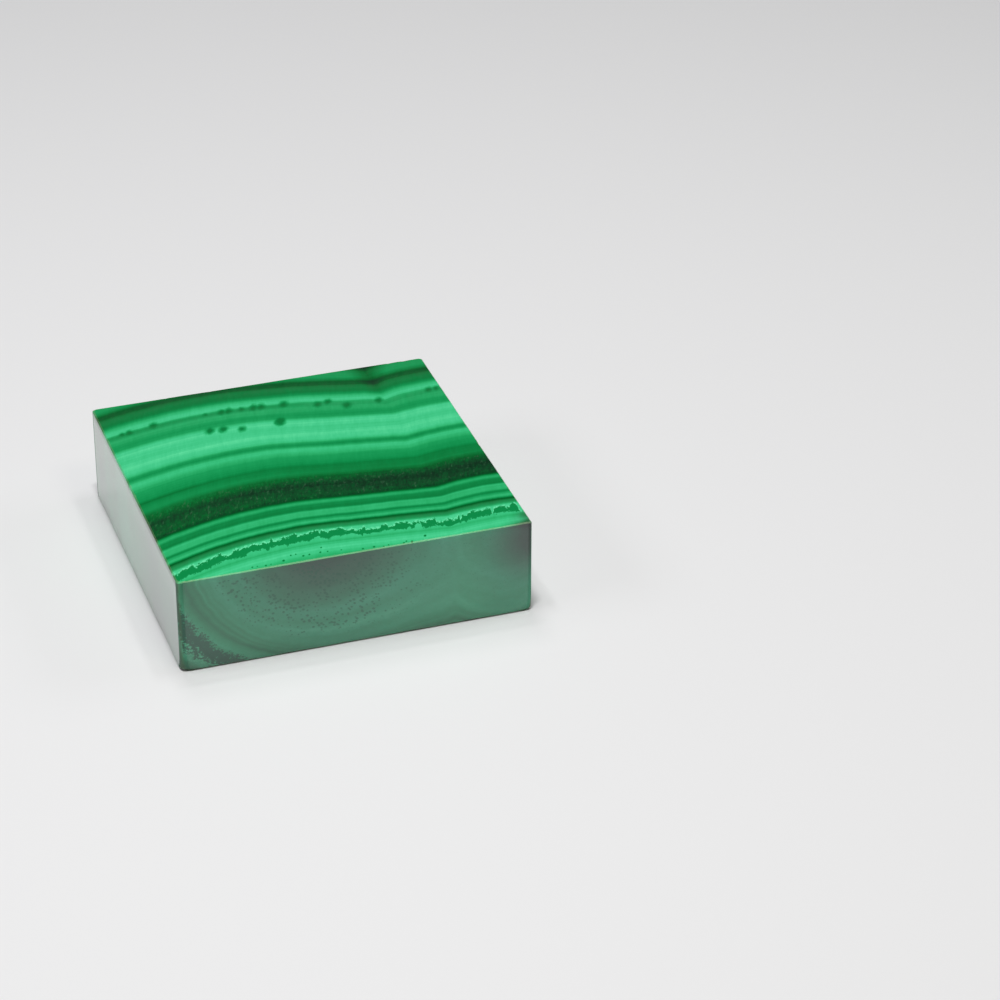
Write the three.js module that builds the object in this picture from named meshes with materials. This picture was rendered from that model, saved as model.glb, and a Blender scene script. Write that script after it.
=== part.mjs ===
// Square slab of banded malachite, sawn from one lump of stone and polished on every face.
// Millimetres, +Z up. The origin is the centre of the flat underside, the slab's width runs
// along X and its depth along Y. The whole slab is one closed solid with ground edges.

import * as THREE from 'three';

// Driving dimensions
const slabWidth = 35;
const slabDepth = 35;
const slabThickness = 10;

// How far each kind of edge is ground back from the sharp sawn corner
const topEdgeEase = 0.12;
const bottomEdgeEase = 0.4;
const uprightEdgeEase = 0.16;

// How finely the eased edges are stepped
const topEdgeSteps = 2;
const bottomEdgeSteps = 5;
const uprightEdgeSteps = 3;

// Finish of the polished stone
const stoneColour = 0x1f9e5c;
const stoneRoughness = 0.15;
const stoneMetalness = 0;

const quarterTurn = Math.PI / 2;

// Quarter of a circle from a flat face out to the upright faces. Each point has its inset from
// the upright face and its rise from the flat one.
function easedEdge(ease, steps) {
  return Array.from({ length: steps + 1 }, (unused, step) => {
    const turn = (step / steps) * quarterTurn;
    return { inset: ease * (1 - Math.sin(turn)), rise: ease * (1 - Math.cos(turn)) };
  });
}

// The slab's levels from the underside up, each with its height and the inset of its outline
function slabLevels() {
  const lower = easedEdge(bottomEdgeEase, bottomEdgeSteps)
    .map(({ inset, rise }) => ({ inset, height: rise }));
  const upper = easedEdge(topEdgeEase, topEdgeSteps)
    .reverse()
    .map(({ inset, rise }) => ({ inset, height: slabThickness - rise }));
  return [...lower, ...upper];
}

// Outline of one level, anticlockwise from above. Its corners are rounder where it is drawn in,
// because the corners of a slab wear more than its edges.
function outlineAt(inset) {
  const radius = uprightEdgeEase + inset;
  const reachX = slabWidth / 2 - inset - radius;
  const reachY = slabDepth / 2 - inset - radius;
  const corners = [[reachX, reachY], [-reachX, reachY], [-reachX, -reachY], [reachX, -reachY]];
  const points = [];
  corners.forEach(([x, y], corner) => {
    for (let step = 0; step <= uprightEdgeSteps; step += 1) {
      const turn = (corner + step / uprightEdgeSteps) * quarterTurn;
      points.push(new THREE.Vector2(x + radius * Math.cos(turn), y + radius * Math.sin(turn)));
    }
  });
  return points;
}

// Triangles between each level's outline and the next one up
function wallFaces(levelCount, ringSize) {
  const faces = [];
  for (let level = 0; level + 1 < levelCount; level += 1) {
    for (let index = 0; index < ringSize; index += 1) {
      const next = (index + 1) % ringSize;
      const low = level * ringSize;
      const high = low + ringSize;
      faces.push(low + index, low + next, high + next);
      faces.push(low + index, high + next, high + index);
    }
  }
  return faces;
}

// Flat triangles that close the outline of the underside or of the top
function capFaces(outline, firstIndex, facesUp) {
  return THREE.ShapeUtils.triangulateShape(outline, []).flatMap(([a, b, c]) => {
    const corners = facesUp ? [a, b, c] : [a, c, b];
    return corners.map((index) => firstIndex + index);
  });
}

function slabGeometry() {
  const levels = slabLevels();
  const outlines = levels.map(({ inset }) => outlineAt(inset));
  const ringSize = outlines[0].length;
  const topLevel = levels.length - 1;
  const positions = outlines.flatMap((outline, level) => (
    outline.flatMap((point) => [point.x, point.y, levels[level].height])
  ));

  const geometry = new THREE.BufferGeometry();
  geometry.setAttribute('position', new THREE.Float32BufferAttribute(positions, 3));
  geometry.setIndex([
    ...capFaces(outlines[0], 0, false),
    ...wallFaces(levels.length, ringSize),
    ...capFaces(outlines[topLevel], topLevel * ringSize, true),
  ]);
  geometry.computeVertexNormals();
  return geometry;
}

function makeSlab() {
  const polishedStone = new THREE.MeshStandardMaterial({
    color: stoneColour,
    roughness: stoneRoughness,
    metalness: stoneMetalness,
    flatShading: true,
  });
  const slab = new THREE.Mesh(slabGeometry(), polishedStone);
  slab.name = 'malachite_slab';
  return slab;
}

const part = new THREE.Group();
part.add(makeSlab());

export default part;
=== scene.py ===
import math
import random
from collections import namedtuple

import bmesh
import bpy
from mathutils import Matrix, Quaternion, Vector, noise


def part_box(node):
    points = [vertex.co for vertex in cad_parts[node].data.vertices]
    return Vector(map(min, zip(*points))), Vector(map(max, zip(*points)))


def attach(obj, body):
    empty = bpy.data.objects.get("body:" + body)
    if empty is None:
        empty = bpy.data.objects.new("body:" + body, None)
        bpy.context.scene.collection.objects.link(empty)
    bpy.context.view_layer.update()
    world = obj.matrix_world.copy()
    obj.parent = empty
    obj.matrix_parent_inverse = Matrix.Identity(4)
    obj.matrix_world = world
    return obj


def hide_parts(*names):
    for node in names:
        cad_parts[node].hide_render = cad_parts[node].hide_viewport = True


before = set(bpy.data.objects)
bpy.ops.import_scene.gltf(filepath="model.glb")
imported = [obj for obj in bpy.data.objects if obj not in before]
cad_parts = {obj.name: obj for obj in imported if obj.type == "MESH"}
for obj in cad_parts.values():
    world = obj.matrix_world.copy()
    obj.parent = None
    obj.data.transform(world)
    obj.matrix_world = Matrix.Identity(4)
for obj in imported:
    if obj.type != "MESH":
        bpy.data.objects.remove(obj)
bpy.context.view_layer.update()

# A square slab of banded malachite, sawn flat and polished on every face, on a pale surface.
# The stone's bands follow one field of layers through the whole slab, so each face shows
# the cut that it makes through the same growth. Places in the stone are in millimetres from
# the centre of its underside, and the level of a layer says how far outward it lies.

# The slab's own box, in metres, from the frame
NODE = "malachite_slab"
_, SLAB_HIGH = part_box(NODE)
MM = 0.001
HALF_SIDE = SLAB_HIGH.x / MM
THICKNESS = SLAB_HIGH.z / MM
QUARTER_TURN = math.pi / 2

# Ground edges in millimetres: the front, right, back and left edge of each flat face
TOP_EASE = (0.13, 0.13, 0.13, 0.16)
BOTTOM_EASE = (0.26, 0.2, 0.2, 0.1)
CORNER_WEAR = 0.12
CORNER_WEAR_LENGTH = 0.7
EDGE_WANDER = 0.15
WANDER_LENGTH = 3.5
TOP_WANDER_START = 7.5
BOTTOM_WANDER_START = 1.5

# Upright edges from the front right one anticlockwise, with more rounding at the foot
UPRIGHT_EASE = (0.14, 0.25, 0.25, 0.38)
FOOT_EASE = (0.3, 0.1, 0.1, 0.4)
FOOT_HEIGHT = 0.8

# Profile of the top's edge: shares of the ease inward and down, and the rings round its flat slope
TOP_PROFILE = ((0.0, 1.0), (0.05, 0.88), (0.88, 0.05), (1.0, 0.0))
SLOPE_RINGS = (-3, -2)

# Chips: how many lie on each side, and their least and greatest size
CHIP_SEED = 11
TOP_CHIPS = (0, 3, 4, 4)
BOTTOM_CHIPS = (3, 4, 4, 3)
CHIP_WIDTH = (0.12, 0.3)
CHIP_DEPTH = (0.03, 0.09)

# Steps of the mesh, and how the rings of the walls are spread
BOTTOM_STEPS = 6
CORNER_STEPS = 4
WALL_STEPS = 22
SIDE_STEPS = 110
WALL_START_ROOM = 1.3
WALL_END_ROOM = 1.6
WALL_CROWDING = 1.5
FLAT_FACE_WEIGHT = 100

# Flat map for a baked copy: left edge, low edge and scale of each face's rectangle
MAP_SCALE = 0.0172
BOTTOM_MAP_SCALE = 0.0103
MAP_TOP = (0.01, 0.385, MAP_SCALE)
MAP_FRONT = (0.01, 0.2, MAP_SCALE)
MAP_BACK = (0.01, 0.015, MAP_SCALE)
MAP_LEFT = (0.63, 0.385, MAP_SCALE)
MAP_RIGHT = (0.815, 0.385, MAP_SCALE)
MAP_BOTTOM = (0.63, 0.01, BOTTOM_MAP_SCALE)

# A value that fades from low to high while its measure runs from start to end
Fade = namedtuple("Fade", "start end low high", defaults=(0.0, 1.0))

# Layers of the stone: shells round an axis in front of the slab
SHELL_AXIS_Y = -41.5
SHELL_AXIS_Z = 12.4
AXIS_FALL = 0.19
AXIS_FALL_END = 14.0
TYPICAL_DROP = 1.0

# Main hill in the layers, by level, with a sag to the right of its crest
MAIN_CREST = -4.0
MAIN_CREST_LEAN = 0.03
LEFT_RADIUS = Fade(-6.6, 4.4, 32.5, 40)
RIGHT_SLOPE = Fade(-8, 17.3, 0.115, 0.32)
RIGHT_KNEE = Fade(-6.6, 4.4, 1.5, 8.5)
MAIN_FLANK_ACROSS = Fade(-2, 5)
SAG = 0.42
SAG_ACROSS = Fade(0, 8)
SAG_START = Fade(-6.5, -4)
SAG_END = Fade(10, 19, 1, 0.3)

# Small hill at the right, by level, and the crease between the two
SMALL_CREST = 16.4
SMALL_CREST_LEAN = 0.08
SMALL_DIAMETER = Fade(-8, 0, 38, 46)
SMALL_DROP = 1.25
SMALL_DROP_RISE = 0.042
CREASE_SOFTNESS = 0.15
CREASE_WIDTH = Fade(13, 19.5, 0.2, 1.3)

# How far the flanks of the two hills drop further, by level, with 0.5 for no further
NO_FURTHER = 0.5
MAIN_FLANK = (
    (-6.0, 0.5), (-4.0, 0.4), (-1.0, 0.45), (0.5, 0.6), (6.0, 0.6), (8.0, 0.55), (10.5, 0.5),
)
SMALL_FLANK = (
    (-8.0, 0.5), (-3.0, 0.45), (0.0, 0.4), (6.0, 0.45), (8.5, 0.45), (11.0, 0.5),
)

# Smaller bends of the layers, across the slab and by level
OUTER_TILT = Fade(0, 12, 0, 0.014)
OUTER_SWING = Fade(10.5, 12.5, 0, 0.27)
SWING_ACROSS = Fade(-1.5, 3)
OFF_CREASE = Fade(0, 0.8)
CORE_LIFT = Fade(-9.5, -11.5, 0, 0.27)
CORE_LIFT_ACROSS = Fade(9, 13)
CORE_CURVE = Fade(-14.2, -14.8, 0, 0.006)

# Fibres, which fan out from the axes of the two hills
FIBRE_LEAN = 0.25
FIBRE_REACH = 40.0
MAIN_SPREAD = 0.75
SMALL_AXIS = (17.8, -32.0, 8.3)
SMALL_SHARE = Fade(-0.3, 1.2)
END_ON = Fade(0.86, 0.98, 1, 0)

# Noise in the stone: its fineness across, up and through the layers, its amount and its detail
Cloud = namedtuple("Cloud", "lean rise level amount detail roughness", defaults=(1.0, 2.0, 0.5))
NOISE_MIDDLE = 0.5
SWAY = Cloud(0.16, 0.16, 0.1, 0.3)
TREMOR = Cloud(0.9, 0.9, 0.2, 0.12)
STREAKS = Cloud(4, 3, 0.8, 0.09, 4.0, 0.6)
BROAD_SHADES = Cloud(1.1, 1.1, 0.25, 0.07)
FINE_LINES = Cloud(0.05, 0.05, 3.5, 0.1)
END_ON_LINES = 2.0
DARK_GRAIN = Cloud(5, 5, 1.8, 0.42, 4.0, 0.65)
DARK_MOTTLE = Cloud(1.7, 1.7, 1.1, 1.0, 3.0, 0.6)
FLECKS = Cloud(3.4, 3.4, 1.5, 1.0, 3.0, 0.55)
DUST_PATCHES = Cloud(1.5, 1.5, 1.2, 1.0, 3.0, 0.6)
RAGGED_LUMPS = Cloud(1.9, 1.5, 0.9, 1.0, 4.0, 0.7)
RAGGED_TEETH = Cloud(3.8, 3.3, 3.2, 1.0, 3.0, 0.7)

# Bands along the main crest: how far each lies outward, and its tone from black to pale green
CORE_BANDS = (
    (-18.5, 0.74), (-17.2, 0.74), (-16.7, 0.79), (-16.3, 0.86), (-15.8, 0.91), (-15.3, 0.87),
    (-15.15, 0.82), (-15.0, 0.81), (-14.75, 0.74), (-14.3, 0.84), (-13.9, 0.86), (-12.95, 0.92),
    (-12.55, 0.9), (-12.37, 0.75), (-12.15, 0.61), (-11.75, 0.52), (-11.6, 0.38), (-11.4, 0.27),
    (-11.27, 0.33), (-11.1, 0.58), (-10.93, 0.75), (-10.7, 0.77), (-10.35, 0.66), (-10.12, 0.5),
    (-9.93, 0.53), (-9.7, 0.74), (-9.4, 0.76), (-9.1, 0.76), (-8.8, 0.79), (-8.5, 0.51),
)
MIDDLE_BANDS = (
    (-8.35, 0.45), (-8.1, 0.49), (-7.65, 0.51), (-7.4, 0.65), (-7.2, 0.73), (-6.93, 0.66),
    (-6.71, 0.43), (-6.51, 0.2), (-6.25, 0.14), (-5.8, 0.2), (-5.2, 0.17), (-4.6, 0.15),
    (-3.8, 0.08), (-3.3, 0.16), (-2.9, 0.23), (-2.2, 0.31), (-1.75, 0.45), (-1.3, 0.53),
    (-0.7, 0.5), (0.0, 0.44), (0.5, 0.55), (1.2, 0.6), (2.0, 0.65), (2.6, 0.75),
    (3.2, 0.84), (3.6, 0.84), (4.0, 0.67), (4.35, 0.55), (4.7, 0.62), (5.1, 0.81),
)
OUTER_BANDS = (
    (5.5, 0.89), (6.1, 0.92), (6.6, 0.95), (7.0, 0.92), (7.6, 0.88), (8.2, 0.89),
    (8.9, 0.94), (9.5, 0.91), (9.85, 0.8), (10.15, 0.65), (10.5, 0.61), (11.0, 0.63),
    (11.5, 0.71), (12.0, 0.73), (12.4, 0.65), (12.75, 0.59), (13.0, 0.68), (13.25, 0.87),
    (13.6, 0.9), (14.1, 0.83), (14.5, 0.7), (14.9, 0.54), (15.35, 0.45), (16.0, 0.48),
    (16.4, 0.44), (16.85, 0.25), (17.35, 0.24), (17.85, 0.5), (18.5, 0.66), (19.3, 0.66),
)
REAR_BANDS = (
    (19.7, 0.6), (20.2, 0.42), (20.6, 0.26), (20.9, 0.3), (21.2, 0.62), (21.6, 0.74), (21.9, 0.5),
    (22.2, 0.36), (22.6, 0.68), (23.2, 0.8),
)

# Thin dark lines in the core where the fibres are cut end on, and one outside the dark band
CORE_LINES = (
    (-15.45, 0.0), (-15.32, 0.9), (-15.2, 0.1), (-15.08, 0.8), (-14.95, 0.5), (-14.7, 1.0), (-14.55, 0.8),
    (-14.35, 0.0),
)
CORE_LINES_ACROSS = Fade(-6, 0, 0.14, 0.02)
THIN_LINE = ((-0.3, 0.0), (-0.12, 1.0), (-0.04, 1.0), (0.15, 0.0))
THIN_LINE_ACROSS = Fade(-8, -12, 0, 0.05)

# A pale line in the outer bands, and the dark crease through them
OUTER_LINE = ((12.2, 0.0), (12.6, 0.8), (12.85, 1.0), (13.05, 0.0))
OUTER_LINE_ACROSS = Fade(0, 5, 0, 0.1)
CREASE_DARKNESS = 0.3
CREASE_START = Fade(14.5, 19)

# Dark grained band: its edges by level, how its tone runs across, and its dull flecks
DARK_START = Fade(-6.5, -6.2)
DARK_END = Fade(-1.6, -2.6)
DARK_ACROSS = Fade(-14, 6, 0.04, -0.05)
DARK_ACROSS_START = Fade(-6.5, -5.8)
DARK_ACROSS_END = Fade(0, -1.2)
MOTTLE_SHADE = 0.22
MOTTLE_FLECKS = 0.3
FLECK_EDGE = Fade(0.05, 0.26)
FLECK_DUST = 0.45

# Dull brownish dust in the bands: place and amount
DUST = (
    (-13.0, 0.0), (-12.3, 0.06), (-12.0, 0.2), (-11.7, 0.17), (-11.45, 0.0), (-8.3, 0.02), (-7.1, 0.04),
    (-6.5, 0.0), (-6.2, 0.02), (-5.7, 0.07), (-3.0, 0.06), (-2.1, 0.05), (-1.4, 0.05), (0.2, 0.01),
    (10.9, 0.02), (11.6, 0.06), (12.6, 0.12), (13.2, 0.03), (14.8, 0.03), (15.6, 0.11), (16.2, 0.2),
    (16.8, 0.17), (17.4, 0.1), (18.4, 0.1), (19.4, 0.15), (20.4, 0.1),
)
DUST_BY_PATCH = Fade(-0.2, 0.1, 0.5, 1.2)

# Greens of the stone by tone, as the screen shows them
GREENS = (
    (0.0, (12, 46, 27)), (0.1, (13, 64, 34)), (0.2, (8, 84, 39)), (0.3, (3, 102, 43)),
    (0.42, (10, 123, 59)), (0.5, (12, 137, 70)), (0.57, (18, 150, 81)), (0.66, (29, 165, 94)),
    (0.74, (44, 181, 109)), (0.83, (58, 199, 129)), (0.91, (74, 213, 147)), (0.97, (93, 227, 161)),
    (1.0, (112, 238, 176)),
)

# Other colours, as the screen shows them, and how strongly they cover the green
DUSTY_GREEN = (70, 111, 82)
SPECK_GREEN = (8, 92, 68)
INNER_SPECK_SHARE = 0.65
CORNER_PATCH_BROWN = (44, 62, 36)
CORNER_PATCH_SHARE = 0.8
WORN_EDGE = (150, 165, 130)
WORN_SHARE = 0.2

# Screen colours: the straight and the curved stretch of their scale
SCREEN_WHITE = 255
STRAIGHT_END = 0.04045
STRAIGHT_SLOPE = 12.92
CURVE_SHIFT = 0.055
CURVE_POWER = 2.4

# Outlines of the ragged band along the top: place across and level
OUTER_OUTLINE = (
    (-17.5, -12.92), (-16.97, -13.35), (-16.75, -12.93), (-15.6, -12.85), (-15.35, -12.67),
    (-15.12, -13.3), (-14.88, -13.35), (-14.8, -12.9), (-14.42, -13.15), (-14.25, -12.85),
    (-13.75, -12.98), (-12.7, -12.8), (-12.45, -12.48), (-12.15, -13.2), (-11.2, -13.2),
    (-11.08, -12.68), (-10.3, -12.85), (-9.55, -12.72), (-9.42, -13.0), (-9.15, -12.6),
    (-8.38, -13.05), (-8.0, -12.7), (-7.48, -13.2), (-7.18, -12.2), (-7.02, -13.0), (-6.28, -13.05),
    (-6.05, -12.6), (-5.45, -12.78), (-4.8, -12.4), (-4.55, -13.0), (-3.6, -12.75), (-2.5, -12.4),
    (-2.4, -13.15), (-2.2, -12.5), (-1.65, -13.15), (-1.42, -12.8), (-0.3, -12.45), (0.05, -13.05),
    (0.52, -13.2), (0.65, -12.85), (1.2, -13.5), (1.65, -13.2), (1.92, -12.7), (2.07, -13.4),
    (3.4, -13.35), (3.62, -12.87), (4.0, -12.72), (4.27, -13.35), (4.72, -13.3), (5.0, -12.8),
    (6.1, -12.75), (6.45, -13.3), (6.8, -12.85), (7.5, -13.0), (7.8, -13.25), (8.2, -12.75),
    (8.8, -12.9), (8.92, -13.5), (9.65, -13.42), (10.0, -12.98), (10.45, -13.4), (10.95, -13.42),
    (11.17, -12.77), (11.27, -13.65), (11.55, -13.0), (11.92, -13.4), (12.2, -12.85), (12.65, -12.6),
    (13.0, -12.97), (14.45, -12.8), (14.64, -14.2), (14.82, -12.9), (15.9, -12.85), (16.02, -13.2),
    (16.4, -13.15), (16.62, -12.65), (16.95, -12.6), (17.15, -13.2), (17.42, -14.4),
)
INNER_OUTLINE = (
    (-17.5, -14.4), (-16.65, -14.08), (-16.3, -13.96), (-15.0, -14.1), (-13.3, -13.97),
    (-12.0, -13.75), (-11.0, -14.0), (-10.25, -14.15), (-9.6, -13.6), (-8.1, -13.8), (-7.9, -14.3),
    (-7.6, -13.77), (-6.1, -13.85), (-5.8, -14.25), (-5.65, -13.92), (-4.2, -13.8), (-3.72, -14.25),
    (-3.55, -13.85), (-2.78, -13.45), (-2.35, -13.9), (-1.6, -14.2), (-1.45, -13.85), (0.5, -13.65),
    (1.25, -13.95), (1.42, -14.4), (1.6, -13.75), (2.0, -14.02), (4.0, -13.75), (5.7, -14.0),
    (5.88, -13.55), (6.4, -14.0), (6.7, -13.2), (7.1, -13.15), (7.22, -13.83), (7.6, -14.27),
    (8.1, -13.9), (9.0, -13.96), (9.15, -14.35), (9.3, -13.95), (9.6, -14.25), (10.15, -14.25),
    (11.3, -14.0), (11.6, -14.28), (11.95, -13.95), (14.4, -13.9), (15.8, -13.88), (17.1, -14.2),
)
OUTLINE_LOW = -14.5
OUTLINE_HIGH = -12.0
POINTS_PER_RAMP = 30

# Edges of the ragged band: outline on the top, its mean level, level inside, and the jags' sizes
RaggedEdge = namedtuple("RaggedEdge", "outline mean inside inside_lumps top_lumps teeth")
OUTER_RAGGED = RaggedEdge(OUTER_OUTLINE, -13.0, -13.17, 3.0, 0.4, 1.7)
INNER_RAGGED = RaggedEdge(INNER_OUTLINE, -14.0, -13.97, 1.2, 0.2, 1.3)
OUTER_RAGGED_EDGE = Fade(0.02, -0.06)
INNER_RAGGED_EDGE = Fade(-0.14, -0.07)
RAGGED_NEAR_TOP = Fade(8, 9.5)
RAGGED_DEEP_SHIFT = Fade(1.5, 6.5, 0.23, 0)
RAGGED_TONE = Fade(7, 9.5, 0.36, 0.53)

# Pale grains along the outer edge of the ragged band
GRAIN_PALENESS = 0.24
GRAIN_TEETH = Fade(-0.02, 0.08)
GRAIN_REACH = Fade(0.6, 0.2)
GRAIN_START = Fade(0, 0.1)

# Dark spots on the top: place across and back, and size
Spots = namedtuple("Spots", "places width length softness")
DOT_PLACES = (
    (-7.3, 9.45, 1.2), (-5.95, 9.3, 1.2), (-4.1, 8.8, 0.95), (-0.1, 9.05, 1.6), (-15.8, 11.45, 0.6),
    (-15.05, 11.6, 0.9), (-12.4, 12.3, 1.1), (-6.9, 12.75, 0.4), (-5.2, 12.8, 1.0), (-4.45, 12.85, 1.0),
    (-3.15, 12.75, 0.7), (-1.9, 12.7, 1.1), (-1.1, 12.65, 1.1), (1.2, 12.4, 1.2), (4.45, 11.3, 1.0),
    (5.6, 11.5, 1.0), (7.25, 10.2, 1.2), (10.6, 10.2, 1.0), (16.1, 10.7, 0.9), (16.9, 10.75, 0.7),
)
SPECK_PLACES = (
    (-10.1, -17.0, 0.9), (-9.6, -17.0, 0.6), (-8.8, -17.1, 1.0), (-8.3, -17.05, 0.6), (-7.0, -16.8, 1.3),
    (-6.1, -16.1, 0.9), (-5.6, -16.05, 0.8), (-5.0, -16.55, 1.1), (-4.4, -16.5, 1.0), (-3.3, -16.45, 1.0),
    (-3.0, -15.65, 0.9), (-2.6, -16.5, 0.8), (-1.3, -16.65, 0.7), (0.7, -17.1, 1.0), (1.8, -17.1, 1.2),
    (2.7, -17.3, 0.7), (3.2, -17.2, 0.8), (4.7, -17.3, 0.9), (5.0, -17.1, 0.9), (5.5, -17.3, 1.2),
    (7.0, -16.7, 1.4),
)
CORNER_PATCH_PLACES = ((17.8, -17.7, 1.2), (17.8, -16.3, 0.6))
DOTS = Spots(DOT_PLACES, 0.34, 0.46, 0.95)
SPECKS = Spots(SPECK_PLACES, 0.09, 0.13, 0.5)
DARK_CORNER_PATCH = Spots(CORNER_PATCH_PLACES, 1.9, 1.2, 0.7)
DOT_TONE = 0.4
DOT_SHARE = 0.9
SPECK_TONE = 0.35
SPECK_SHARE = 0.8
SPOT_DEPTH = 0.6
SPOT_WOBBLE = 1.1
SPOT_WOBBLE_FINENESS = 0.9
FAR_AWAY = 9.0

# Crowd of small specks inside the core, below the top
CROWD_FINENESS = (2.5, 1.7, 1.3)
CROWD_DENSITY_FINENESS = 0.35
CROWD_DENSITY = 1.5
CROWD_LEVELS = Fade(-15.3, -16.0)
CROWD_TOP = Fade(9.7, 9.3)
CROWD_ACROSS = Fade(1, 9, 1, 0.45)
CROWD_SIZE = Fade(-0.2, 0.05, 0.12, 0.4)
CROWD_SOFTNESS = 0.08

# Walls: a tint for the stone's colour and a haze added, by how far the cut runs along the fibres, and
# painted shade that darkens them towards the foot
WALL_TINT = (
    (0.0, (0.4, 0.06, 0.1)), (0.1, (0.4, 0.1, 0.13)), (0.2, (0.45, 0.246, 0.28)),
    (0.34, (0.5, 0.467, 0.52)), (0.56, (0.55, 0.557, 0.55)), (0.82, (0.3, 0.25, 0.3)),
    (0.975, (0.3, 0.27, 0.3)), (1.25, (0.5, 0.47, 0.5)),
)
WALL_HAZE = (
    (0.0, (0.028, 0.04, 0.042)), (0.1, (0.026, 0.037, 0.043)), (0.2, (0.023, 0.03, 0.045)),
    (0.34, (0.018, 0.03, 0.05)), (0.56, (0.018, 0.03, 0.055)), (0.82, (0.028, 0.06, 0.057)),
    (0.975, (0.028, 0.064, 0.055)), (1.25, (0.032, 0.072, 0.06)),
)
OUTER_DULLING = Fade(-14, 0, 0, 0.25)
# Painted shade: the walls darken over their lowest 2.4 mm, where the floor's contact shadow falls
PAINTED_FOOT_SHADE = Fade(0, 2.4, 0.84, 1)

# Where the surface counts as a ground edge, as a corner, and as the top
EDGE_FLATNESS = Fade(0.97, 0.6)
CORNER_TURN = Fade(0.005, 0.05)
TOP_FACING = Fade(0.3, 0.6)

# Polish
POLISH_ROUGHNESS = 0.1
EDGE_ROUGHNESS = 0.25
CORNER_ROUGHNESS = 0.5
EDGE_COAT_LOSS = 0.5
STONE_IOR = 1.65
COAT_IOR = 1.3
COAT_ROUGHNESS = 0.05

# Pale surface, in metres
SURFACE_REACH = 3.0
SURFACE_COLOUR = (0.8, 0.8, 0.81, 1)
SURFACE_ROUGHNESS = 0.6

# Soft boxes of light in metres, all at one height, and the faint light of the room
SoftBox = namedtuple("SoftBox", "name x y width depth brightness colour", defaults=((1, 1, 1),))
WARM = (1.0, 0.96, 0.8)
BOX_HEIGHT = 0.42
SOFT_BOXES = (
    SoftBox("front_box", -0.03, -0.08, 0.06, 0.035, 135.5),
    SoftBox("left_box", -0.09, 0.0, 0.035, 0.1, 23.6),
    SoftBox("right_box", 0.09, 0.0, 0.035, 0.1, 15.9),
    SoftBox("near_back_box", 0.0, 0.095, 0.1, 0.035, 18.2),
    SoftBox("back_box", 0.0, 0.2, 0.1, 0.12, 5.6),
    SoftBox("low_left_box", -0.6, 0.0, 0.3, 0.4, 2.96),
    SoftBox("low_right_box", 0.6, 0.0, 0.3, 0.4, 1.96),
    SoftBox("edge_box", 0.107, -0.27, 0.12, 0.12, 4.5, WARM),
)
ROOM_COLOUR = (0.9, 0.95, 1, 1)
ROOM_BRIGHTNESS = 0.004

# Camera: place and aim in millimetres, roll in degrees, sensor and lens in millimetres
CAMERA_PLACE = (-77.7, -287.2, 181.6)
CAMERA_AIM = (21.35, 3.34, 0)
CAMERA_ROLL = 0.15
SENSOR_WIDTH = 36
LENS = 125.3
NEAREST_SHOWN = 0.01

# Inputs and output of Blender's Mix node that carry colours
MIX_SHARE = 0
MIX_FIRST = 6
MIX_SECOND = 7
MIX_RESULT = 2


def linear(colour):
    """A screen colour as the linear colour that a shader takes, with alpha."""
    shares = [value / SCREEN_WHITE for value in colour]
    straight = [share / STRAIGHT_SLOPE for share in shares]
    curved = [((share + CURVE_SHIFT) / (1 + CURVE_SHIFT)) ** CURVE_POWER for share in shares]
    lit = [low if share <= STRAIGHT_END else high for share, low, high in zip(shares, straight, curved)]
    return (*lit, 1.0)


def toward(value, target, share):
    """A value moved by a share of the way to a target."""
    return value + (target - value) * share


class Wire:
    """A socket of a material, for writing shader maths as Python expressions."""

    def __init__(self, recipe, socket):
        self.recipe = recipe
        self.socket = socket

    def __add__(self, other):
        return self.recipe.maths("ADD", self, other)

    def __sub__(self, other):
        return self.recipe.maths("SUBTRACT", self, other)

    def __mul__(self, other):
        return self.recipe.maths("MULTIPLY", self, other)

    def __truediv__(self, other):
        return self.recipe.maths("DIVIDE", self, other)

    def __rsub__(self, other):
        return self.recipe.maths("SUBTRACT", other, self)

    __radd__ = __add__
    __rmul__ = __mul__


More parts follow.
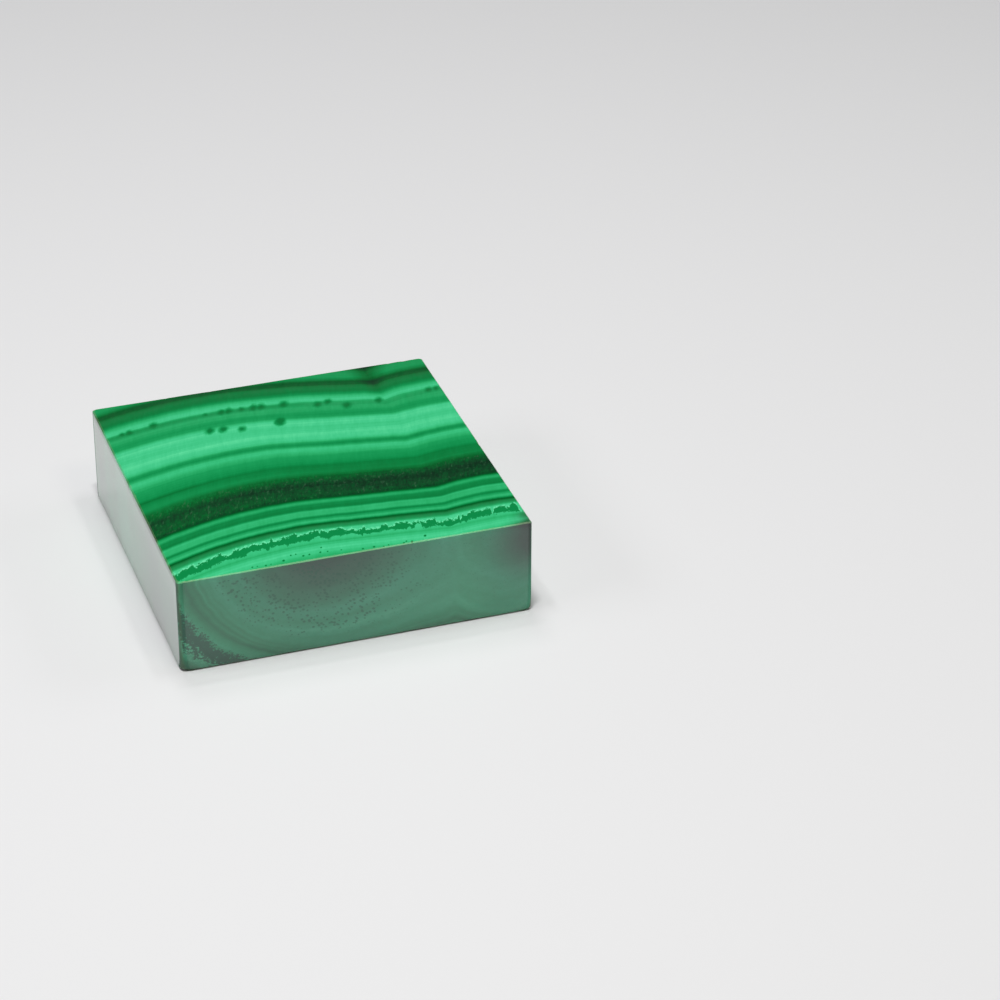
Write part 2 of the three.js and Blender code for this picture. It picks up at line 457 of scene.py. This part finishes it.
class Recipe:
    """One material: its nodes, and the expressions that make them."""

    def __init__(self, name):
        self.material = bpy.data.materials.new(name)
        self.material.use_nodes = True
        self.tree = self.material.node_tree
        self.finish = self.tree.nodes["Principled BSDF"]

    def node(self, kind, settings=None, sockets=None, output=0):
        """Adds a node, makes its settings, fills its sockets and returns one of its outputs."""
        made = self.tree.nodes.new(kind)
        for name, value in (settings or {}).items():
            if name == "stops":
                self.set_stops(made.color_ramp, value)
            else:
                setattr(made, name, value)
        for place, value in (sockets or {}).items():
            self.fill(made.inputs[place], value)
        return Wire(self, made.outputs[output])

    def set_stops(self, ramp, stops):
        """Gives a colour ramp its stops, each a place from 0 to 1 and a colour."""
        while len(ramp.elements) < len(stops):
            ramp.elements.new(1.0)
        for element, (place, colour) in zip(ramp.elements, stops):
            element.position = place
            element.color = colour

    def fill(self, socket, value):
        """Links a wire to a socket, or sets the socket's own value."""
        if isinstance(value, Wire):
            self.tree.links.new(value.socket, socket)
        else:
            socket.default_value = value

    def set_finish(self, values):
        """Fills sockets of the material's shader by name."""
        for name, value in values.items():
            self.fill(self.finish.inputs[name], value)

    def maths(self, operation, *values):
        return self.node("ShaderNodeMath", {"operation": operation}, dict(enumerate(values)))

    def vector_maths(self, operation, *values, output=0):
        settings = {"operation": operation}
        return self.node("ShaderNodeVectorMath", settings, dict(enumerate(values)), output)

    def vector(self, x, y, z):
        return self.node("ShaderNodeCombineXYZ", None, {0: x, 1: y, 2: z})

    def parts(self, vector):
        """The three coordinates of a vector."""
        first = self.node("ShaderNodeSeparateXYZ", None, {0: vector})
        return [Wire(self, output) for output in first.socket.node.outputs]

    def scaled(self, vector, factor):
        made = self.vector_maths("SCALE", vector)
        self.fill(made.socket.node.inputs["Scale"], factor)
        return made

    def root(self, value):
        return self.maths("SQRT", value)

    def size(self, value):
        return self.maths("ABSOLUTE", value)

    def larger(self, a, b):
        return self.maths("MAXIMUM", a, b)

    def smaller(self, a, b):
        return self.maths("MINIMUM", a, b)

    def fade(self, value, fade, shape="LINEAR"):
        """Runs from the fade's low to its high while value runs from its start to its end, then stays."""
        settings = {"interpolation_type": shape}
        sockets = {
            "Value": value,
            "From Min": fade.start,
            "From Max": fade.end,
            "To Min": fade.low,
            "To Max": fade.high,
        }
        return self.node("ShaderNodeMapRange", settings, sockets)

    def step(self, value, fade):
        """A fade that starts and ends softly."""
        return self.fade(value, fade, shape="SMOOTHSTEP")

    def blend(self, share, a, b):
        """Mixes two colours."""
        sockets = {MIX_SHARE: share, MIX_FIRST: a, MIX_SECOND: b}
        return self.node("ShaderNodeMix", {"data_type": "RGBA"}, sockets, MIX_RESULT)

    def tinted(self, colour, tint):
        """A colour multiplied by a tint."""
        settings = {"data_type": "RGBA", "blend_type": "MULTIPLY"}
        sockets = {MIX_SHARE: 1.0, MIX_FIRST: colour, MIX_SECOND: tint}
        return self.node("ShaderNodeMix", settings, sockets, MIX_RESULT)

    def cloud(self, place, detail=2.0, roughness=0.5):
        """Soft noise round 0."""
        sockets = {"Vector": place, "Scale": 1.0, "Detail": detail, "Roughness": roughness}
        return self.node("ShaderNodeTexNoise", None, sockets, "Fac") - NOISE_MIDDLE

    def cells(self, place):
        """Distance to the nearest of a crowd of scattered points."""
        sockets = {"Vector": place, "Scale": 1.0, "Randomness": 1.0}
        return self.node("ShaderNodeTexVoronoi", None, sockets, "Distance")

    def ramp(self, value, stops):
        """A grey ramp over a value, from stops in the value's own units."""
        whole = Fade(stops[0][0], stops[-1][0])
        length = whole.end - whole.start
        greys = [((place - whole.start) / length, (grey, grey, grey, 1)) for place, grey in stops]
        return self.node("ShaderNodeValToRGB", {"stops": greys}, {0: self.fade(value, whole)})

    def colour_ramp(self, value, stops):
        """A colour ramp over a value that starts at 0, from stops in the value's own units."""
        last = stops[-1][0]
        colours = [(place / last, (*colour, 1.0)) for place, colour in stops]
        return self.node("ShaderNodeValToRGB", {"stops": colours}, {0: value / last})


# A place in the stone, its level without and with small waves, and how the fibres run there
Growth = namedtuple("Growth", "x y z level waved lean rise cut crease")

# How far left and right of a hill's crest a place is, and how far the layers drop there
Hill = namedtuple("Hill", "left right drop")


def shells(recipe, x, y, z):
    """Level in plain shells round their axis, and how far from the axis and above it a place is."""
    axis_fall = recipe.fade(x - MAIN_CREST, Fade(0, AXIS_FALL_END, 0, AXIS_FALL_END)) * AXIS_FALL
    axis_z = SHELL_AXIS_Z - axis_fall
    from_axis = y - SHELL_AXIS_Y
    above_axis = z - axis_z
    top_above = THICKNESS - axis_z
    swept = recipe.root(from_axis * from_axis + above_axis * above_axis - top_above * top_above)
    return swept + SHELL_AXIS_Y, from_axis, above_axis


def main_hill(recipe, x, rough_level):
    """How far left and right of the main crest a place is, and how far the layers drop there."""
    across = x - (MAIN_CREST - rough_level * MAIN_CREST_LEAN)
    left = recipe.smaller(across, 0)
    right = recipe.larger(across, 0)
    left_drop = left * left / (recipe.fade(rough_level, LEFT_RADIUS) * 2)
    knee = recipe.fade(rough_level, RIGHT_KNEE)
    slope = recipe.fade(rough_level, RIGHT_SLOPE)
    right_drop = slope * (recipe.root(right * right + knee * knee) - knee)
    flank = (recipe.ramp(rough_level, MAIN_FLANK) - NO_FURTHER) * recipe.fade(x, MAIN_FLANK_ACROSS)
    return Hill(left, right, left_drop + right_drop + flank)


def small_hill(recipe, x, rough_level):
    """How far the layers drop away from the small crest."""
    across = x - (rough_level * SMALL_CREST_LEAN + SMALL_CREST)
    bow = across * across / recipe.fade(rough_level, SMALL_DIAMETER)
    flank = recipe.ramp(rough_level, SMALL_FLANK) - NO_FURTHER
    return bow + rough_level * SMALL_DROP_RISE + flank + SMALL_DROP


def sag(recipe, right, rough_level):
    """How far the layers sag to the right of the main crest."""
    depth = recipe.fade(rough_level, SAG_START) * recipe.fade(rough_level, SAG_END) * SAG
    return recipe.step(right, SAG_ACROSS) * depth


def bent(recipe, x, z, level, from_crease):
    """A level with the tilt and swing of the outer layers and the lift and curve of the core."""
    level = level + (x - MAIN_CREST) * recipe.fade(level, OUTER_TILT)
    swing = recipe.fade(level, OUTER_SWING) * recipe.fade(x, SWING_ACROSS)
    level = level - swing * recipe.fade(from_crease, OFF_CREASE)
    level = level + recipe.fade(x, CORE_LIFT_ACROSS) * recipe.fade(level, CORE_LIFT)
    below = THICKNESS - z
    return level - below * below * recipe.fade(level, CORE_CURVE)


def cut_along(recipe, fibres):
    """How far a face cuts along the fibres: 0 where it meets them end on, 1 where they lie in it."""
    normal = recipe.node("ShaderNodeTexCoord", output="Normal")
    squared = recipe.vector_maths("MULTIPLY", normal, normal)
    facing = recipe.vector_maths("MULTIPLY", squared, squared)
    fibres = recipe.vector_maths("NORMALIZE", fibres)
    along = recipe.vector_maths("MULTIPLY", fibres, fibres)
    sides_only = recipe.vector_maths("MULTIPLY", along, (1, 1, 0))
    met = recipe.vector_maths("DOT_PRODUCT", facing, sides_only, output="Value")
    whole = recipe.vector_maths("DOT_PRODUCT", facing, (1, 1, 1), output="Value")
    return recipe.root(recipe.larger(1.0 - met / whole, 0))


def fibre_cut(recipe, x, y, z, from_axis, main, to_small):
    """The cut along the fibres, which fan out from the axis of the hill that they grew on."""
    spread = main.left + main.right * MAIN_SPREAD
    main_cut = cut_along(recipe, recipe.vector(spread, from_axis, z - SHELL_AXIS_Z))
    small_x, small_y, small_z = SMALL_AXIS
    small_cut = cut_along(recipe, recipe.vector(x - small_x, y - small_y, z - small_z))
    return toward(main_cut, small_cut, recipe.step(to_small, SMALL_SHARE))


def growth(recipe):
    """Where each place of the stone lies in its growth."""
    place = recipe.node("ShaderNodeTexCoord", output="Object")
    x, y, z = recipe.parts(recipe.scaled(place, 1 / MM))
    shell_level, from_axis, above_axis = shells(recipe, x, y, z)
    rough_level = shell_level + TYPICAL_DROP
    main = main_hill(recipe, x, rough_level)
    small_drop = small_hill(recipe, x, rough_level)
    to_small = main.drop - small_drop
    from_crease = recipe.size(to_small)
    drop = recipe.maths("SMOOTH_MIN", main.drop, small_drop, CREASE_SOFTNESS)
    drop = drop + sag(recipe, main.right, rough_level)
    level = bent(recipe, x, z, shell_level + drop, from_crease)
    lean = x - level * FIBRE_LEAN
    rise = above_axis / from_axis * FIBRE_REACH
    cut = fibre_cut(recipe, x, y, z, from_axis, main, to_small)
    crease = recipe.fade(from_crease / recipe.fade(level, CREASE_WIDTH), Fade(0, 1, 1, 0))
    stone = Growth(x, y, z, level, level, lean, rise, cut, crease)
    waves = stone_cloud(recipe, stone, SWAY) + stone_cloud(recipe, stone, TREMOR)
    return stone._replace(waved=level + waves)


def stone_cloud(recipe, stone, cloud):
    """Noise round 0 that follows the fibres and the layers."""
    place = recipe.vector(stone.lean * cloud.lean, stone.rise * cloud.rise, stone.level * cloud.level)
    return recipe.cloud(place, cloud.detail, cloud.roughness) * cloud.amount


def band_tone(recipe, level):
    """Tone of the bands at a level, from ramps that follow one another outward."""
    tone = recipe.ramp(level, CORE_BANDS)
    end = CORE_BANDS[-1][0]
    for bands in (MIDDLE_BANDS, OUTER_BANDS, REAR_BANDS):
        tone = toward(tone, recipe.ramp(level, bands), recipe.fade(level, Fade(end, bands[0][0])))
        end = bands[-1][0]
    return tone


def lined_tone(recipe, stone):
    """Tone of the bands with their streaks, their broad shades and their thin lines."""
    tone = band_tone(recipe, stone.waved)
    tone = tone + stone_cloud(recipe, stone, STREAKS) + stone_cloud(recipe, stone, BROAD_SHADES)
    end_on = recipe.fade(stone.cut, END_ON)
    fine_lines = stone_cloud(recipe, stone._replace(level=stone.waved), FINE_LINES)
    tone = tone + fine_lines * (end_on * END_ON_LINES + 1)
    core_lines = recipe.ramp(stone.waved, CORE_LINES) * end_on * recipe.fade(stone.x, CORE_LINES_ACROSS)
    thin_line = recipe.ramp(stone.waved, THIN_LINE) * recipe.fade(stone.x, THIN_LINE_ACROSS)
    outer_line = recipe.ramp(stone.waved, OUTER_LINE) * recipe.fade(stone.x, OUTER_LINE_ACROSS)
    crease = stone.crease * recipe.step(stone.waved, CREASE_START) * CREASE_DARKNESS
    return tone - core_lines - thin_line + outer_line - crease


def dark_band(recipe, stone):
    """Shade of the dark band's grain, and its dull flecks."""
    level = stone.waved
    inside = recipe.step(level, DARK_START) * recipe.step(level, DARK_END)
    mottle = stone_cloud(recipe, stone, DARK_MOTTLE)
    shade = (stone_cloud(recipe, stone, DARK_GRAIN) + mottle * MOTTLE_SHADE) * inside
    flecks = stone_cloud(recipe, stone, FLECKS) + mottle * MOTTLE_FLECKS
    broad = recipe.step(level, DARK_ACROSS_START) * recipe.step(level, DARK_ACROSS_END)
    shade = shade + recipe.fade(stone.x, DARK_ACROSS) * broad
    return shade, recipe.step(flecks, FLECK_EDGE) * inside


def traced(recipe, along, outline):
    """The level of a traced outline, from ramps that each follow one stretch of it."""
    height = OUTLINE_HIGH - OUTLINE_LOW
    shares = [(place, (level - OUTLINE_LOW) / height) for place, level in outline]
    share = 0.0
    for start in range(0, len(shares) - 1, POINTS_PER_RAMP):
        stretch = shares[start:start + POINTS_PER_RAMP + 1]
        share = share + recipe.ramp(along, stretch)
        if start > 0:
            share = share - stretch[0][1]
    return share * height + OUTLINE_LOW


def past_ragged_edge(recipe, stone, edge, lumps, teeth):
    """How far outward of an edge of the ragged band a place lies, jags and all."""
    near_top = recipe.fade(stone.z, RAGGED_NEAR_TOP)
    on_top = traced(recipe, stone.lean + edge.mean * FIBRE_LEAN, edge.outline)
    line = toward(edge.inside, on_top, near_top) + recipe.fade(stone.z, RAGGED_DEEP_SHIFT)
    lump_size = recipe.fade(near_top, Fade(0, 1, edge.inside_lumps, edge.top_lumps))
    return stone.level - line + lumps * lump_size + teeth * edge.teeth


def ragged_band(recipe, stone):
    """The ragged band, and the pale grains along its outer edge."""
    lumps = stone_cloud(recipe, stone, RAGGED_LUMPS)
    teeth = stone_cloud(recipe, stone, RAGGED_TEETH)
    outer = past_ragged_edge(recipe, stone, OUTER_RAGGED, lumps, teeth)
    inner = past_ragged_edge(recipe, stone, INNER_RAGGED, lumps, teeth)
    band = recipe.step(outer, OUTER_RAGGED_EDGE) * recipe.step(inner, INNER_RAGGED_EDGE)
    beside = recipe.step(outer, GRAIN_REACH) * recipe.step(outer, GRAIN_START)
    return band, recipe.step(teeth, GRAIN_TEETH) * beside


def spots(recipe, stone, kind):
    """Slanted spots at listed points of the top."""
    slant = stone.x - stone.y * FIBRE_LEAN
    depth = (stone.z - THICKNESS) / SPOT_DEPTH
    place = recipe.vector(slant / kind.width, stone.y / kind.length, depth)
    nearest = FAR_AWAY
    for across, back, size in kind.places:
        centre = ((across - back * FIBRE_LEAN) / kind.width, back / kind.length, 0)
        away = recipe.vector_maths("DISTANCE", place, centre, output="Value")
        nearest = recipe.smaller(nearest, away - size)
    wobble = recipe.cloud(recipe.scaled(place, SPOT_WOBBLE_FINENESS)) * SPOT_WOBBLE
    return recipe.step(nearest + wobble, Fade(kind.softness, -kind.softness))


def marked_tone(recipe, stone, tone):
    """Tone with the ragged band, the dots and the specks."""
    ragged, grains = ragged_band(recipe, stone)
    tone = toward(tone, recipe.fade(stone.z, RAGGED_TONE), ragged) + grains * GRAIN_PALENESS
    tone = toward(tone, DOT_TONE, spots(recipe, stone, DOTS) * DOT_SHARE)
    return toward(tone, SPECK_TONE, spots(recipe, stone, SPECKS) * SPECK_SHARE)


def stone_colour(recipe, stone, tone, flecks):
    """The stone's green by its tone, with dull dust and a dark brownish patch at the front right corner
    of the top.
    """
    greens = [(place, linear(colour)) for place, colour in GREENS]
    colour = recipe.node("ShaderNodeValToRGB", {"stops": greens}, {0: tone})
    patches = recipe.fade(stone_cloud(recipe, stone, DUST_PATCHES), DUST_BY_PATCH)
    dust = recipe.ramp(stone.waved, DUST) * patches + flecks * FLECK_DUST
    colour = recipe.blend(dust, colour, linear(DUSTY_GREEN))
    # A dark brownish patch at the front right corner of the top, laid over the green as colour
    corner_patch = spots(recipe, stone, DARK_CORNER_PATCH) * CORNER_PATCH_SHARE
    return recipe.blend(corner_patch, colour, linear(CORNER_PATCH_BROWN))


def inner_specks(recipe, stone):
    """A crowd of small specks in the core, below the top."""
    across, up, outward = CROWD_FINENESS
    place = recipe.vector(stone.lean * across, stone.rise * up, stone.level * outward)
    slice_place = recipe.vector(stone.x * CROWD_DENSITY_FINENESS, stone.z * CROWD_DENSITY_FINENESS, 0.0)
    density = recipe.cloud(slice_place)
    inside = recipe.step(stone.level + density * CROWD_DENSITY, CROWD_LEVELS)
    inside = inside * recipe.step(stone.z, CROWD_TOP) * recipe.fade(stone.x, CROWD_ACROSS)
    size = recipe.fade(density, CROWD_SIZE) * inside
    return recipe.step(recipe.cells(place) - size, Fade(CROWD_SOFTNESS, -CROWD_SOFTNESS)) * inside


def wall_colour(recipe, stone, colour):
    """The stone's colour as its walls show it, duller where they meet the fibres end on, and darker
    towards the foot as painted shade.
    """
    cut = stone.cut + recipe.fade(stone.level, OUTER_DULLING)
    tinted = recipe.tinted(colour, recipe.colour_ramp(cut, WALL_TINT))
    hazy = recipe.vector_maths("ADD", tinted, recipe.colour_ramp(cut, WALL_HAZE))
    specks = inner_specks(recipe, stone) * INNER_SPECK_SHARE
    specked = recipe.blend(specks, hazy, linear(SPECK_GREEN))
    # Painted shade: the walls are darkened towards their foot, where the floor's contact shadow falls
    return recipe.scaled(specked, recipe.fade(stone.z, PAINTED_FOOT_SHADE))


def ground_edges(recipe):
    """Where the surface is a ground edge, where a corner, and where it faces up and shows the top."""
    normal = recipe.node("ShaderNodeTexCoord", output="Normal")
    squared = recipe.vector_maths("MULTIPLY", normal, normal)
    flatness = recipe.vector_maths("DOT_PRODUCT", squared, squared, output="Value")
    across, deep, upward = recipe.parts(normal)
    corner = recipe.step(recipe.size(across * deep), CORNER_TURN)
    return recipe.step(flatness, EDGE_FLATNESS), corner, recipe.step(upward, TOP_FACING)


def malachite():
    """Polished malachite: bands, a ragged band, a grained dark band, specks and dull walls."""
    recipe = Recipe("polished_malachite")
    stone = growth(recipe)
    shade, flecks = dark_band(recipe, stone)
    tone = marked_tone(recipe, stone, lined_tone(recipe, stone) + shade)
    colour = stone_colour(recipe, stone, tone, flecks)
    edge, corner, upward = ground_edges(recipe)
    colour = recipe.blend(upward, wall_colour(recipe, stone, colour), colour)
    recipe.set_finish({
        "Base Color": recipe.blend(edge * WORN_SHARE, colour, linear(WORN_EDGE)),
        "Roughness": edge * EDGE_ROUGHNESS + corner * CORNER_ROUGHNESS + POLISH_ROUGHNESS,
        "Coat Weight": recipe.larger(1.0 - edge * EDGE_COAT_LOSS - corner, 0),
        "IOR": STONE_IOR,
        "Coat IOR": COAT_IOR,
        "Coat Roughness": COAT_ROUGHNESS,
    })
    return recipe.material


def plain_pale():
    """The matt finish of the surface that the slab lies on."""
    recipe = Recipe("pale_surface")
    recipe.set_finish({"Base Color": SURFACE_COLOUR, "Roughness": SURFACE_ROUGHNESS})
    return recipe.material


# Outward direction of each side, anticlockwise from the front
OUTWARD = (Vector((0, -1)), Vector((1, 0)), Vector((0, 1)), Vector((-1, 0)))


def swell(distance, width):
    """A smooth swell: 1 at its middle, fading over its width."""
    return math.exp(-((distance / width) ** 2))


def edge_chips(count):
    """Small chips along each edge of a face: where, how wide and how deep."""
    draw = random.Random(CHIP_SEED)
    return [
        [
            (draw.uniform(-HALF_SIDE, HALF_SIDE), draw.uniform(*CHIP_WIDTH), draw.uniform(*CHIP_DEPTH))
            for _ in range(chips)
        ]
        for chips in count
    ]


def stations():
    """Stations round the outline: each a side, the place along it, and the turn round its corner."""
    found = []
    for side in range(len(OUTWARD)):
        for step in range(SIDE_STEPS + 1):
            found.append((side, 2 * step / SIDE_STEPS - 1, 0.0))
        for step in range(1, CORNER_STEPS):
            found.append((side, 1.0, step / CORNER_STEPS * QUARTER_TURN))
    return found


def outline_point(station, inset, rounding):
    """A point of the outline, drawn in by the inset."""
    side, along, turn = station
    outward, onward = OUTWARD[side], OUTWARD[(side + 1) % len(OUTWARD)]
    radius = rounding + inset
    reach = HALF_SIDE - inset - radius
    arc = outward * math.cos(turn) + onward * math.sin(turn)
    point = (outward + onward * along) * reach + arc * radius
    return [max(-HALF_SIDE, min(HALF_SIDE, value)) for value in point]


def ease_here(station, eases, chips, wander_start):
    """How far the edge is ground back at a station, with its wander and its chips."""
    side, along, turn = station
    onward = (side + 1) % len(OUTWARD)
    plain = eases[side] + (eases[onward] - eases[side]) * turn / QUARTER_TURN
    place = OUTWARD[side] * HALF_SIDE + OUTWARD[onward] * along * HALF_SIDE
    drift = noise.noise(Vector((place.x / WANDER_LENGTH, place.y / WANDER_LENGTH, wander_start)))
    chipped = sum(depth * swell(along * HALF_SIDE - where, width) for where, width, depth in chips[side])
    return plain * (1 + EDGE_WANDER * drift) + chipped


def corner_wear(station):
    """How much more the underside's edge is worn near a corner."""
    _, along, _ = station
    return CORNER_WEAR * swell(HALF_SIDE * (1 - abs(along)), CORNER_WEAR_LENGTH)


def upright_ease(station, height):
    """How far the upright edges are rounded at a height, fading from one edge to the next."""
    side, along, _ = station
    share = (along + 1) / 2
    plain = UPRIGHT_EASE[side - 1] * (1 - share) + UPRIGHT_EASE[side] * share
    foot = FOOT_EASE[side - 1] * (1 - share) + FOOT_EASE[side] * share
    return plain + foot * swell(height, FOOT_HEIGHT)


def foot_rings(round_the_slab):
    """Rings of points from the flat underside round to the walls."""
    chips = edge_chips(BOTTOM_CHIPS)
    rings = []
    for step in range(BOTTOM_STEPS + 1):
        turn = step / BOTTOM_STEPS * QUARTER_TURN
        ring = []
        for station in round_the_slab:
            ease = ease_here(station, BOTTOM_EASE, chips, BOTTOM_WANDER_START) + corner_wear(station)
            height = ease * (1 - math.cos(turn))
            point = outline_point(station, ease * (1 - math.sin(turn)), upright_ease(station, height))
            ring.append((*point, height))
        rings.append(ring)
    return rings


def wall_rings(round_the_slab):
    """Rings of points up the walls, closer together near the foot."""
    low = (max(BOTTOM_EASE) + CORNER_WEAR) * WALL_START_ROOM
    high = THICKNESS - max(TOP_EASE) * WALL_END_ROOM
    rings = []
    for step in range(1, WALL_STEPS):
        height = low + (high - low) * (step / WALL_STEPS) ** WALL_CROWDING
        ring = []
        for station in round_the_slab:
            ring.append((*outline_point(station, 0, upright_ease(station, height)), height))
        rings.append(ring)
    return rings


def top_rings(round_the_slab):
    """Rings of points from the walls over the top's ground edge to the flat top."""
    chips = edge_chips(TOP_CHIPS)
    rings = []
    for inward, down in TOP_PROFILE:
        ring = []
        for station in round_the_slab:
            ease = ease_here(station, TOP_EASE, chips, TOP_WANDER_START)
            point = outline_point(station, ease * inward, upright_ease(station, THICKNESS))
            ring.append((*point, THICKNESS - ease * down))
        rings.append(ring)
    return rings


def bake_place(corner, face):
    """Where a corner of the mesh lies on the flat map that a baked copy of the slab uses."""
    x, y, z = corner / MM + Vector((HALF_SIDE, HALF_SIDE, 0))
    across, deep, upward = face.normal
    if abs(upward) > max(abs(across), abs(deep)):
        left, low, scale = MAP_TOP if upward > 0 else MAP_BOTTOM
        return left + x * scale, low + y * scale
    if abs(deep) > abs(across):
        left, low, scale = MAP_FRONT if deep < 0 else MAP_BACK
        return left + x * scale, low + z * scale
    left, low, scale = MAP_RIGHT if across > 0 else MAP_LEFT
    return left + z * scale, low + y * scale


def add_bake_map(mesh):
    """The flat map: each side of the slab has its own rectangle."""
    layer = mesh.uv_layers.new(name="OFBake")
    for face in mesh.polygons:
        for loop in face.loop_indices:
            corner = mesh.vertices[mesh.loops[loop].vertex_index].co
            layer.data[loop].uv = bake_place(corner, face)


def placed(name, shape):
    """A new object in the scene, from a shape that is then given up."""
    mesh = bpy.data.meshes.new(name)
    shape.to_mesh(mesh)
    shape.free()
    piece = bpy.data.objects.new(name, mesh)
    bpy.context.scene.collection.objects.link(piece)
    return piece


def slab_shape():
    """Faces between the rings and over both flats, with the slope of the top's edge left flat."""
    round_the_slab = stations()
    rings = foot_rings(round_the_slab) + wall_rings(round_the_slab) + top_rings(round_the_slab)
    shape = bmesh.new()
    made = [[shape.verts.new([value * MM for value in point]) for point in ring] for ring in rings]
    count = len(round_the_slab)
    for low, high in zip(made, made[1:]):
        for index in range(count):
            onward = (index + 1) % count
            shape.faces.new((low[index], low[onward], high[onward], high[index]))
    shape.faces.new(list(reversed(made[0])))
    shape.faces.new(made[-1])
    slope = {corner for ring in SLOPE_RINGS for corner in made[ring]}
    for face in shape.faces:
        face.smooth = not slope.issuperset(face.verts)
    return shape


def slab_piece():
    """The polished slab, with ground edges that wander and small chips along them."""
    piece = placed("polished_slab", slab_shape())
    add_bake_map(piece.data)
    flat_shading = piece.modifiers.new("flat_faces", "WEIGHTED_NORMAL")
    flat_shading.weight = FLAT_FACE_WEIGHT
    flat_shading.keep_sharp = True
    return piece


def surface():
    """The plain pale surface that the slab lies on."""
    shape = bmesh.new()
    sides = ((-1, -1), (1, -1), (1, 1), (-1, 1))
    shape.faces.new([shape.verts.new((x * SURFACE_REACH, y * SURFACE_REACH, 0)) for x, y in sides])
    piece = placed("pale_surface", shape)
    piece.data.materials.append(plain_pale())


def soft_box(box):
    """A soft light that hangs level over the slab."""
    data = bpy.data.lights.new(box.name, "AREA")
    data.shape = "RECTANGLE"
    data.size = box.width
    data.size_y = box.depth
    data.color = box.colour
    data.energy = box.brightness * box.width * box.depth * math.pi
    light = bpy.data.objects.new(box.name, data)
    bpy.context.scene.collection.objects.link(light)
    light.location = (box.x, box.y, BOX_HEIGHT)


def dim_room():
    """The faint light that comes from all round."""
    world = bpy.data.worlds.new("room")
    bpy.context.scene.world = world
    world.use_nodes = True
    inputs = world.node_tree.nodes["Background"].inputs
    inputs["Color"].default_value = ROOM_COLOUR
    inputs["Strength"].default_value = ROOM_BRIGHTNESS


def camera():
    """The photograph's viewing angle."""
    place = Vector(CAMERA_PLACE) * MM
    aim = Vector(CAMERA_AIM) * MM
    data = bpy.data.cameras.new("camera")
    data.sensor_width = SENSOR_WIDTH
    data.lens = LENS
    data.clip_start = NEAREST_SHOWN
    eye = bpy.data.objects.new("camera", data)
    bpy.context.scene.collection.objects.link(eye)
    eye.location = place
    roll = Quaternion((0, 0, 1), math.radians(CAMERA_ROLL))
    eye.rotation_euler = ((aim - place).to_track_quat("-Z", "Y") @ roll).to_euler()
    bpy.context.scene.camera = eye


bpy.context.scene.view_settings.view_transform = "Standard"
dim_room()
camera()
surface()
for box in SOFT_BOXES:
    soft_box(box)

slab = slab_piece()
slab.data.materials.append(malachite())
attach(slab, "root")
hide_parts(NODE)
